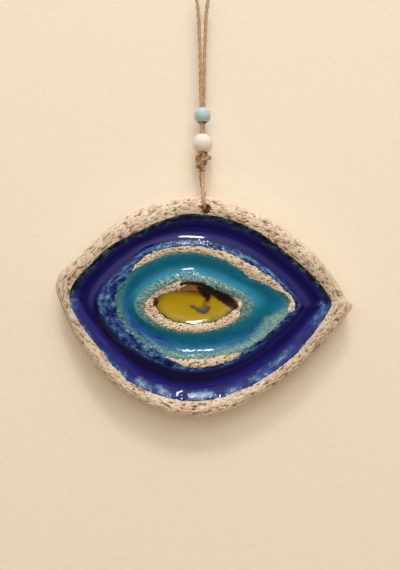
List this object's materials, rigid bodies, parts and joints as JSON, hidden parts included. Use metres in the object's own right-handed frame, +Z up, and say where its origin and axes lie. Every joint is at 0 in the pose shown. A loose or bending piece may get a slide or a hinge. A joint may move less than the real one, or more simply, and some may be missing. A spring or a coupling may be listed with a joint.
{
  "type": "evil eye wall ornament",
  "caption": "Carved clay eye plaque with fused cobalt, turquoise and yellow glazes, hung flat on a wall by doubled jute twine with two wooden beads.",
  "frame": {"origin": "centre of the nail that the twine's top bight hangs over", "axes": "+X right and +Z up as seen from the front, +Y towards the wall; the eye faces -Y"},
  "size_m": [0.1492, 0.0176, 0.2173],
  "materials": {
    "fired_clay": "unglazed grogged clay, fired, rough and scraped",
    "cobalt_glaze": "glossy transparent cobalt glaze, thin and pale at its edges",
    "turquoise_glaze": "glossy turquoise glaze",
    "yellow_glaze": "glossy yellow glaze, pooled",
    "dark_glaze": "black-brown iron glaze, brushed",
    "jute_twine": "twisted natural jute, hairy",
    "blue_bead_paint": "turned wood, pale blue satin paint",
    "white_bead_paint": "turned wood, off-white satin paint"
  },
  "bodies": {
    "hanger": {"twine_hanger": "jute_twine", "twine_knot": "jute_twine"},
    "blue_bead": {"blue_bead": "blue_bead_paint"},
    "white_bead": {"white_bead": "white_bead_paint"},
    "sling": {"twine_sling": "jute_twine"},
    "plaque": {"clay_plaque": "fired_clay", "cobalt_glaze": "cobalt_glaze", "turquoise_glaze": "turquoise_glaze", "yellow_glaze": "yellow_glaze", "dark_glaze": "dark_glaze"}
  },
  "joints": [
    {"name": "blue_bead_slide", "type": "slide", "parent": "hanger", "child": "blue_bead", "axis": [0, 0, 1], "range_m": [-0.0026, 0.012]},
    {"name": "white_bead_slide", "type": "slide", "parent": "hanger", "child": "white_bead", "axis": [0, 0, 1], "range_m": [0, 0.0026]},
    {"name": "sling_swing", "type": "hinge", "parent": "hanger", "child": "sling", "pos_m": [0, 0, -0.0895], "axis": [-1, 0, 0], "range_deg": [0, 30]},
    {"name": "plaque_rock", "type": "hinge", "parent": "sling", "child": "plaque", "pos_m": [0.0016, -0.0009, -0.1096], "axis": [0, 1, 0], "range_deg": [-20, 20]}
  ]
}
